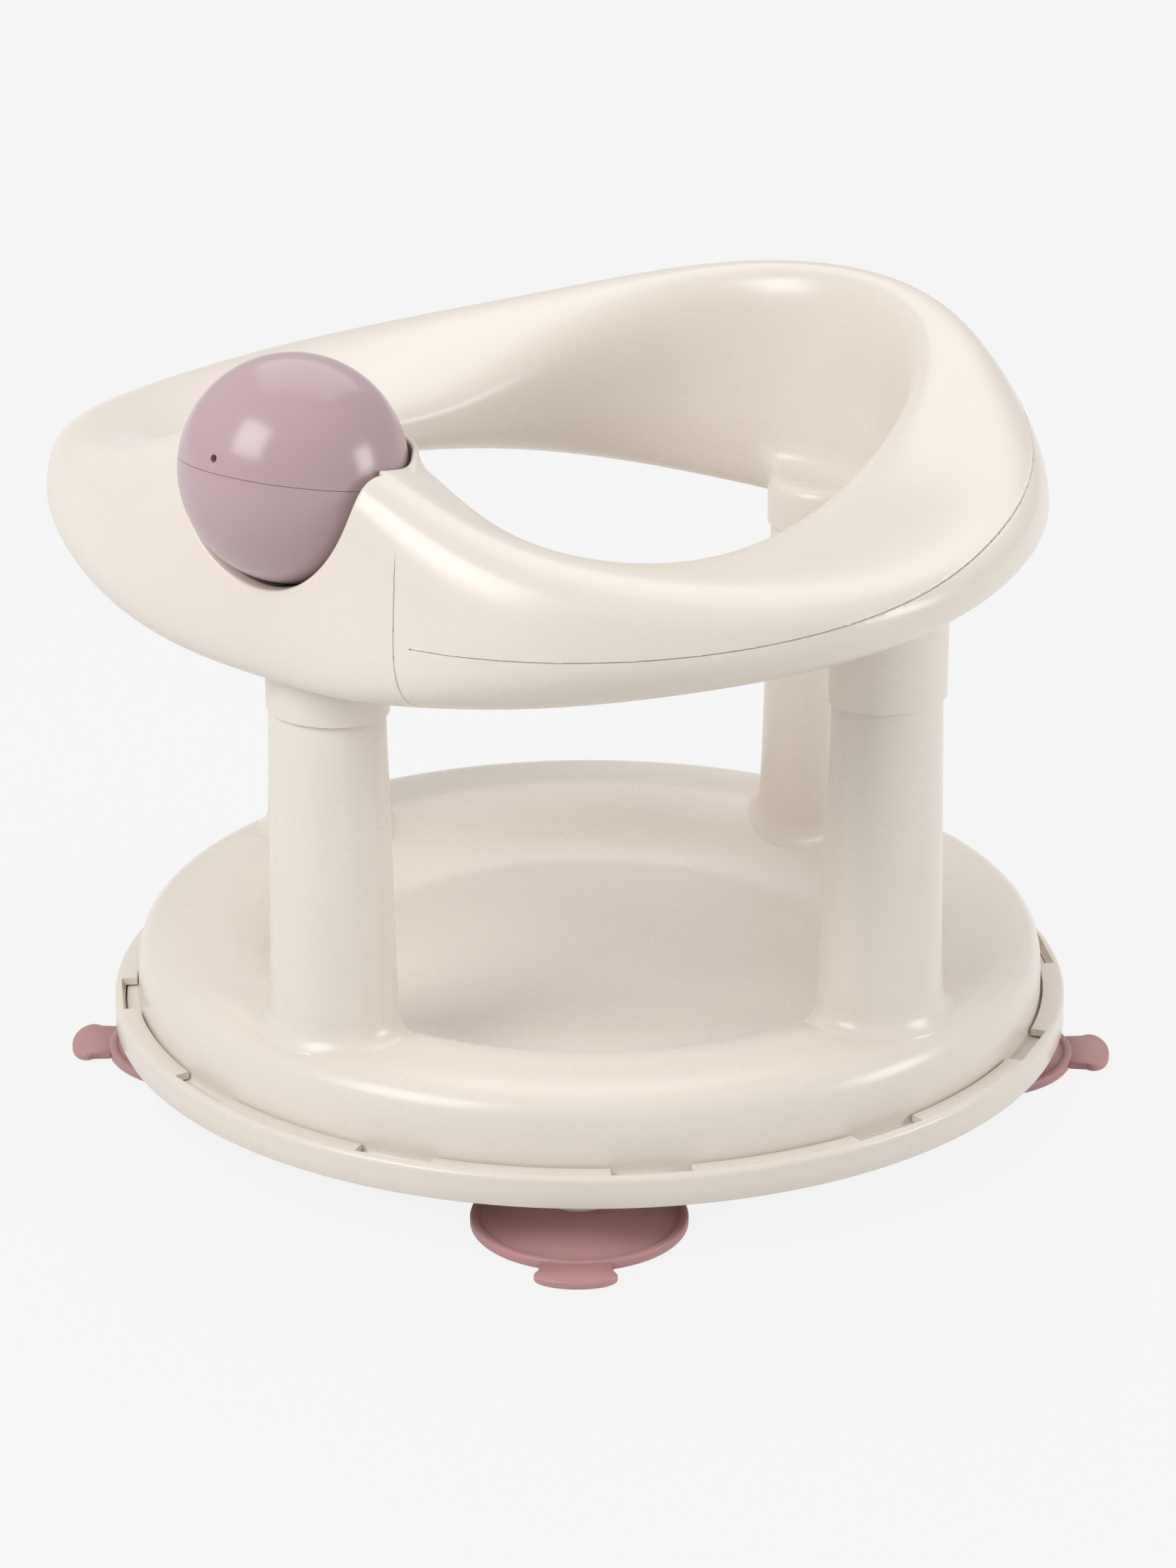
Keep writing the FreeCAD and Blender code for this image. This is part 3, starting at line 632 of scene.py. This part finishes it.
def mixed(tree, factor, first, second):
    """Mix two colours, each given as a socket or as three numbers."""
    first, second = (value if isinstance(value, bpy.types.NodeSocket) else (*value, 1.0) for value in (first, second))
    return added(tree, "ShaderNodeMix", {0: factor, 6: first, 7: second}, data_type="RGBA").outputs[2]


def scaled(colour, factor):
    return tuple(min(1.0, channel * factor) for channel in colour)


def new_material(name):
    """A new material, its node tree, its shader and its object coordinates."""
    material = bpy.data.materials.new(name)
    material.use_nodes = True
    tree = material.node_tree
    return material, tree, tree.nodes["Principled BSDF"], added(tree, "ShaderNodeTexCoord").outputs["Object"]


def moulded(name, colour, roughness, bump, specular=0.5, scatter=0.0):
    """Moulded plastic: faint mottling, flow marks, handling scuffs, paler worn edges and a fine skin texture."""
    made = bpy.data.materials.get(name)
    if made:
        return made
    material, tree, shader, place = new_material(name)
    mottle = noise(tree, place, 14.0, 4.0, 0.55)
    flow = noise(tree, place, 55.0, 3.0, 0.6, 0.4)
    scuff = noise(tree, place, 210.0, 3.0, 0.55, 0.8)
    grain = noise(tree, place, 900.0, 1.0, 0.5)
    dark, light = (scaled(colour, tone) for tone in MOTTLE_TONES)
    body = mixed(tree, ramp(tree, mottle, 0.0, 1.0, 0.35, 0.65), dark, light)
    body = mixed(tree, ramp(tree, flow, 0.0, 0.5, 0.5, 0.8), body, scaled(colour, FLOW_TONE))
    worn = added(tree, "ShaderNodeNewGeometry").outputs["Pointiness"]
    rough = added(tree, "ShaderNodeMath", {
        0: ramp(tree, mottle, roughness - 0.03, roughness + 0.03, 0.3, 0.7),
        1: ramp(tree, scuff, 0.0, 0.03, 0.5, 0.8)}, operation="ADD")
    wave = added(tree, "ShaderNodeBump", {"Strength": 0.25, "Distance": 0.0002, "Height": mottle})
    fine = added(tree, "ShaderNodeBump", {
        "Strength": bump, "Distance": 0.00002, "Height": grain, "Normal": wave.outputs["Normal"]})
    set_inputs(tree, shader, {
        "Base Color": mixed(tree, ramp(tree, worn, 0.0, 0.5, 0.54, 0.7), body, scaled(colour, EDGE_TONE)),
        "Roughness": rough.outputs["Value"], "Normal": fine.outputs["Normal"], "Specular IOR Level": specular,
        "Subsurface Weight": scatter, "Subsurface Scale": 0.004})
    return material


def turned_steel():
    """Bright steel with fine turning marks."""
    made = bpy.data.materials.get("turned_steel")
    if made:
        return made
    material, tree, shader, place = new_material("turned_steel")
    stretch = added(tree, "ShaderNodeMapping", {"Vector": place, "Scale": (40.0, 40.0, 1800.0)})
    marks = noise(tree, stretch.outputs["Vector"], 1.0, 4.0, 0.6)
    set_inputs(tree, shader, {
        "Metallic": 1.0, "Base Color": mixed(tree, marks, (0.55, 0.55, 0.56), (0.7, 0.7, 0.7)),
        "Roughness": ramp(tree, marks, 0.22, 0.38)})
    return material


def cream():
    return moulded("moulded_cream", bpy.context.scene.bath_seat_colours.cream, 0.26, 0.03)


def mauve():
    return moulded("polished_mauve", bpy.context.scene.bath_seat_colours.mauve, 0.21, 0.03)


def soft_cup():
    return moulded("soft_mauve", bpy.context.scene.bath_seat_colours.cups, 0.46, 0.3, 0.4, 0.15)


# Operators

class BATHSEAT_OT_ring(bpy.types.Operator):
    """Model the ring's shells and the front part that holds the ball"""

    bl_idname = "bathseat.ring"
    bl_label = "Ring"

    def execute(self, context):
        rough = rough_form()
        front = front_form(copied(rough, "front"))
        rest = without_front(shaped(rough, RING_VOXEL))
        side_groove(front, True)
        side_groove(rest, False)
        point, normal = (0, 0, SEAM_HEIGHT), seam_normal()
        upper = bisect(copied(rest, "ring_upper"), point, normal)
        lower = bisect(rest, point, normal, clear_outer=True)
        lower.name = "ring_lower"
        level_groove(upper, True)
        level_groove(lower, False)
        y, z, slope = COVER_SPLIT
        tilt = Vector((0, -1, slope)).normalized()
        cover = bisect(copied(front, "front_cover_moulding"), (0, y, z), tilt)
        cradle = bisect(front, (0, y, z), tilt, clear_outer=True)
        cradle.name = "ball_cradle_moulding"
        for obj, node in ((upper, "ring_upper_shell"), (lower, "ring_lower_shell"),
                          (cover, "front_cover"), (cradle, "ball_cradle")):
            smooth(obj)
            finished(obj, "seat", "cream_plastic", cream(), node)
        return {"FINISHED"}


class BATHSEAT_OT_ball(bpy.types.Operator):
    """Model the two halves of the ball"""

    bl_idname = "bathseat.ball"
    bl_label = "Ball"

    def execute(self, context):
        sizes = context.scene.bath_seat_sizes
        deselect()
        bpy.ops.mesh.primitive_uv_sphere_add(segments=144, ring_count=96, radius=sizes.ball_radius,
                                             rotation=(0, math.radians(90), 0))
        ball = fixed(named("ball"))
        deselect()
        bpy.ops.mesh.primitive_cylinder_add(vertices=40, radius=AXLE_BORE * MM, depth=0.1,
                                            rotation=(0, math.radians(90), 0))
        cut_by(ball, fixed(named("axle_bore")))
        lower = copied(ball, "ball_lower")
        bisect(lower, (0, 0, 0), (0, 0, 1), clear_outer=True)
        upper = bisect(ball, (0, 0, 0), (0, 0, 1))
        upper.name = "ball_upper"
        deselect()
        bpy.ops.mesh.primitive_cylinder_add(vertices=40, radius=sizes.drain_radius, depth=0.012,
                                            location=(0, -sizes.ball_radius, 0), rotation=(math.radians(90), 0, 0))
        cut_by(upper, turned(fixed(named("drain")), DRAIN_TURN, "X"))
        for obj, node in ((upper, "ball_upper_half"), (lower, "ball_lower_half")):
            inward = Vector((0, 0, 1 if obj is upper else -1))
            groove(obj, lambda point: abs(point.z) < ON_PLANE, lambda point: inward, lambda point: BALL_GROOVE)
            smooth(moved(turned(obj, -BALL_TILT, "X"), BALL_CENTRE))
            finished(obj, "ball", "mauve_gloss", mauve(), node)
        return {"FINISHED"}


def pan_height(radius):
    """Height of the pan's top at a radius."""
    if radius < PAN_FLOOR:
        return PAN_FLOOR_HEIGHT
    if radius < PAN_CREST:
        share = (radius - PAN_FLOOR) / (PAN_CREST - PAN_FLOOR)
        return PAN_FLOOR_HEIGHT + (PAN_CREST_HEIGHT - PAN_FLOOR_HEIGHT) * (1 - math.cos(math.pi * share)) / 2
    share = min(1.0, (radius - PAN_CREST) / (PAN_WALL - PAN_CREST))
    return PAN_WALL_TOP + (PAN_CREST_HEIGHT - PAN_WALL_TOP) * (1 - share ** SHOULDER_POWER) ** (1 / SHOULDER_POWER)


def pan_profile():
    """Top of the pan from the middle outwards."""
    points = [(20.0, PAN_FLOOR_HEIGHT), (60.0, PAN_FLOOR_HEIGHT), (76.0, PAN_FLOOR_HEIGHT)]
    for step in range(21):
        radius = PAN_FLOOR + (PAN_CREST - PAN_FLOOR) * step / 20
        points.append((radius, pan_height(radius)))
    for step in range(1, 25):
        turn = math.pi / 2 * step / 24
        across, up = math.sin(turn), abs(math.cos(turn))
        square = (across ** SHOULDER_POWER + up ** SHOULDER_POWER) ** (1 / SHOULDER_POWER)
        points.append((PAN_CREST + (PAN_WALL - PAN_CREST) * across / square,
                       PAN_WALL_TOP + (PAN_CREST_HEIGHT - PAN_WALL_TOP) * up / square))
    return points


class BATHSEAT_OT_pan(bpy.types.Operator):
    """Model the seat pan"""

    bl_idname = "bathseat.pan"
    bl_label = "Seat pan"

    def execute(self, context):
        top = pan_profile()
        under = []
        for index in range(len(top) - 1, -1, -3):
            before, after = top[max(index - 1, 0)], top[min(index + 1, len(top) - 1)]
            run, rise = after[0] - before[0], after[1] - before[1]
            size = math.hypot(run, rise)
            under.append((top[index][0] + PAN_SKIN * rise / size, top[index][1] - PAN_SKIN * run / size))
        flange = [*PAN_FLANGE, (under[0][0], PAN_FLANGE[-1][1])]
        pan = loft("seat_pan_moulding", [ring_row(*point, 240) for point in top + flange + under])
        smooth(pan, 50.0)
        finished(pan, "seat", "cream_plastic", cream(), "seat_pan")
        return {"FINISHED"}


class BATHSEAT_OT_posts(bpy.types.Operator):
    """Model the four posts with their flared feet"""

    bl_idname = "bathseat.posts"
    bl_label = "Posts"

    def execute(self, context):
        def size_at(height):
            share = (POST_SEAM - height) / (POST_SEAM - PAN_CREST_HEIGHT)
            return [top + (foot - top) * share for top, foot in zip(POST_TOP, POST_FOOT)]

        def on_pan(grow, lift):
            row = post_row(grown(size_at(PAN_CREST_HEIGHT), grow), 0.0)
            return [(x, y, pan_height(math.hypot(x, y)) + lift) for x, y, _ in row]

        rows = [on_pan(POST_FLARE - 1.0, -1.6), on_pan(POST_FLARE, -0.8)]
        for step in range(11):
            share = step / 10
            rows.append(on_pan(POST_FLARE * (1 - share) ** 2.4, POST_FLARE_HEIGHT * share ** 1.25))
        for height in (72.0, 80.0, 95.0, 110.0, 125.0, 140.0, 155.0, POST_SEAM - 0.6):
            rows.append(post_row(size_at(height), height))
        for grow, height in ((-0.12, POST_SEAM - 0.25), (-0.5, POST_SEAM), (-1.35, POST_SEAM), (-1.35, POST_SEAM + 6)):
            rows.append(post_row(grown(POST_TOP, grow), height))
        post = loft("post_front_moulding", rows)
        for name, turn, _, _ in COLLARS:
            obj = post if name == "front" else turned(copied(post, "post_%s_moulding" % name), turn)
            smooth(obj, 50.0)
            finished(obj, "seat", "cream_plastic", cream(), "post_%s" % name)
        return {"FINISHED"}


class BATHSEAT_OT_rim(bpy.types.Operator):
    """Model the slotted rim round the base"""

    bl_idname = "bathseat.rim"
    bl_label = "Rim"

    def execute(self, context):
        sizes = context.scene.bath_seat_sizes
        profile = list(RIM_OUTSIDE)
        for step in range(1, 9):
            turn = math.pi / 2 * step / 8
            profile.append((RIM_TOP[0] + RIM_ROUNDING * math.cos(turn), RIM_TOP[1] + RIM_ROUNDING * math.sin(turn)))
        profile += RIM_INSIDE
        rim = loft("rim_moulding", [ring_row(*point, 360, SLOT_TURN) for point in profile], closed=True)
        for step in range(SLOT_COUNT):
            deselect()
            bpy.ops.mesh.primitive_cube_add(size=1.0, location=(SLOT_PLACE[0] * MM, 0, SLOT_PLACE[1] * MM))
            tool = named("slot")
            tool.scale = (SLOT_SIZE * MM, sizes.slot_width, SLOT_SIZE * MM)
            cut_by(rim, turned(fixed(tool), SLOT_TURN + 360.0 * step / SLOT_COUNT))
        smooth(rim)
        finished(rim, "base", "cream_plastic", cream(), "retaining_rim")
        return {"FINISHED"}


class BATHSEAT_OT_cups(bpy.types.Operator):
    """Model the suction cups with their pull tabs"""

    bl_idname = "bathseat.cups"
    bl_label = "Suction cups"

    def execute(self, context):
        cup = joined("suction_cup", loft("cup", [ring_row(*point, 120) for point in self.profile()]),
                     loft("tab", self.tab_rows()))
        smooth(moved(cup, (CUP_CIRCLE, 0, 0)), 45.0)
        for number in range(1, 5):
            name = "suction_cup_%d_soft" % number
            obj = turned(copied(cup, name), CUP_TURN + 90 * (number - 1))
            finished(obj, "base", "soft_cup", soft_cup(), "suction_cup_%d" % number)
        removed(cup)
        return {"FINISHED"}

    def profile(self):
        """Section of the cup: the hollow underneath, the lip, the bell and the neck in its socket."""
        points = list(CUP_INSIDE)
        for step in range(3, 13):
            share = step / 12
            points.append((CUP_INSIDE_RADIUS * share, 6.0 * (1 + math.cos(math.pi * share)) / 2))
        points += CUP_LIP
        for step in range(13):
            share = step / 12
            points.append((32.6 - 18.6 * share, 2.9 + 6.7 * share ** 1.6))
        return points + list(CUP_NECK)

    def tab_rows(self):
        """The pull tab: a rounded knob on a neck that runs into the lip."""
        outline = []
        for step in range(72):
            turn = 2 * math.pi * step / 72
            x, y = TAB_KNOB[0] * math.cos(turn), TAB_KNOB[1] * math.sin(turn)
            if x < -2.4:
                y = math.copysign(max(abs(y), 8.6), y) if abs(y) > 4 else y * 1.7
                x = min(x, -10.6 + abs(y) * 0.16) if abs(y) < 12.0 else x
            outline.append((x, y))
        return [[(TAB_MIDDLE + x * (1 - inset / 13), y * (1 - inset / 13), height) for x, y in outline]
                for inset, height in TAB_LAYERS]


class BATHSEAT_OT_hidden_parts(bpy.types.Operator):
    """Give the base plate, pads, axle and screws their finishes"""

    bl_idname = "bathseat.hidden_parts"
    bl_label = "Base plate, pads, axle and screws"

    def execute(self, context):
        pads = moulded("matt_white", (0.8, 0.8, 0.78), 0.42, 0.2)
        finishes = {"base_plate": cream(), "glide_pads": pads, "ball_axle": turned_steel(),
                    "foot_screws": turned_steel(), "ring_screws": turned_steel()}
        for node, material in finishes.items():
            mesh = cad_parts[node].data
            mesh.materials.clear()
            mesh.materials.append(material)
        return {"FINISHED"}


class BATHSEAT_OT_studio(bpy.types.Operator):
    """Set up the floor, the lamps, the background and the camera"""

    bl_idname = "bathseat.studio"
    bl_label = "Studio"

    def execute(self, context):
        sizes = context.scene.bath_seat_sizes
        self.floor(sizes.floor_size, context.scene.bath_seat_colours.backdrop)
        self.sky(context, context.scene.bath_seat_colours.backdrop)
        for lamp in LAMPS:
            self.lamp(*lamp)
        self.camera(context, sizes.lens)
        return {"FINISHED"}

    def floor(self, size, colour):
        """A floor that glows evenly where it is seen, and still shows the seat's shadow."""
        deselect()
        bpy.ops.mesh.primitive_plane_add(size=size, location=(0, 0, -FLOOR_DROP))
        floor = named("studio_floor")
        material = bpy.data.materials.new("studio_floor")
        material.use_nodes = True
        tree = material.node_tree
        tree.nodes.clear()
        matt = added(tree, "ShaderNodeBsdfDiffuse", {"Color": (*scaled(colour, FLOOR_TONE), 1.0)})
        glow = added(tree, "ShaderNodeEmission", {"Color": (*colour, 1.0)})
        share = added(tree, "ShaderNodeMath", {0: self.seen_directly(tree), 1: FLOOR_GLOW}, operation="MULTIPLY")
        mix = added(tree, "ShaderNodeMixShader", {
            0: share.outputs["Value"], 1: matt.outputs["BSDF"], 2: glow.outputs["Emission"]})
        added(tree, "ShaderNodeOutputMaterial", {"Surface": mix.outputs["Shader"]})
        floor.data.materials.append(material)

    def seen_directly(self, tree):
        """One for rays from the camera, and for those that a gloss or a clear surface passes on."""
        rays = added(tree, "ShaderNodeLightPath").outputs
        first = added(tree, "ShaderNodeMath", {0: rays["Is Camera Ray"], 1: rays["Is Glossy Ray"]},
                      operation="MAXIMUM")
        second = added(tree, "ShaderNodeMath", {0: first.outputs["Value"], 1: rays["Is Transmission Ray"]},
                       operation="MAXIMUM")
        return second.outputs["Value"]

    def sky(self, context, colour):
        """Soft light from all round, with a pale background for the camera."""
        world = bpy.data.worlds.new("studio")
        context.scene.world = world
        world.use_nodes = True
        tree = world.node_tree
        tree.nodes.clear()
        soft = added(tree, "ShaderNodeBackground", {"Color": SKY_COLOUR, "Strength": SKY_STRENGTH})
        shown = added(tree, "ShaderNodeBackground", {"Color": (*colour, 1.0)})
        mix = added(tree, "ShaderNodeMixShader", {
            0: added(tree, "ShaderNodeLightPath").outputs["Is Camera Ray"],
            1: soft.outputs["Background"], 2: shown.outputs["Background"]})
        added(tree, "ShaderNodeOutputWorld", {"Surface": mix.outputs["Shader"]})

    def lamp(self, name, direction, distance, size, power):
        away = Vector(direction).normalized()
        deselect()
        bpy.ops.object.light_add(type="AREA", location=Vector(LAMP_AIM) + away * distance)
        lamp = bpy.context.object
        lamp.name = name
        lamp.data.shape = "SQUARE"
        lamp.data.size = size
        lamp.data.energy = power
        lamp.rotation_euler = away.to_track_quat("Z", "Y").to_euler()

    def camera(self, context, lens):
        turn, pitch = math.radians(CAMERA_TURN), CAMERA_PITCH
        right = Vector((math.cos(turn), math.sin(turn), 0))
        level = Vector((-math.sin(turn), math.cos(turn), 0))
        ahead = level * math.cos(pitch) - Vector((0, 0, math.sin(pitch)))
        above = right.cross(ahead)
        aside, forward, up = CAMERA_PLACE
        place = right * aside + level * forward + Vector((0, 0, up))
        deselect()
        bpy.ops.object.camera_add(location=place)
        camera = bpy.context.object
        camera.name = "photo_camera"
        camera.rotation_euler = Matrix((right, above, -ahead)).transposed().to_euler()
        camera.data.sensor_width = 36.0
        camera.data.lens = lens
        camera.data.clip_start = 0.05
        camera.data.clip_end = 60.0
        context.scene.camera = camera
        context.scene.view_settings.view_transform = "Standard"


class BATHSEAT_PT_panel(bpy.types.Panel):
    """Lists the sizes, the colours and the pieces"""

    bl_idname = "BATHSEAT_PT_panel"
    bl_label = "Bath Seat"
    bl_space_type = "VIEW_3D"
    bl_region_type = "UI"
    bl_category = "Bath Seat"

    def draw(self, context):
        for group in (context.scene.bath_seat_sizes, context.scene.bath_seat_colours):
            for name in group.bl_rna.properties.keys():
                if name not in ("rna_type", "name"):
                    self.layout.prop(group, name)
        for operator in OPERATORS:
            self.layout.operator(operator.bl_idname)


OPERATORS = (BATHSEAT_OT_studio, BATHSEAT_OT_ring, BATHSEAT_OT_ball, BATHSEAT_OT_pan, BATHSEAT_OT_posts,
             BATHSEAT_OT_rim, BATHSEAT_OT_cups, BATHSEAT_OT_hidden_parts)
CLASSES = (BathSeatSizes, BathSeatColours, *OPERATORS, BATHSEAT_PT_panel)


def register():
    for cls in CLASSES:
        bpy.utils.register_class(cls)
    bpy.types.Scene.bath_seat_sizes = PointerProperty(type=BathSeatSizes)
    bpy.types.Scene.bath_seat_colours = PointerProperty(type=BathSeatColours)


def unregister():
    del bpy.types.Scene.bath_seat_colours
    del bpy.types.Scene.bath_seat_sizes
    for cls in reversed(CLASSES):
        bpy.utils.unregister_class(cls)


def main():
    register()
    bpy.ops.bathseat.studio()
    bpy.ops.bathseat.ring()
    bpy.ops.bathseat.ball()
    bpy.ops.bathseat.pan()
    bpy.ops.bathseat.posts()
    bpy.ops.bathseat.rim()
    bpy.ops.bathseat.cups()
    bpy.ops.bathseat.hidden_parts()


if __name__ == "__main__":
    main()
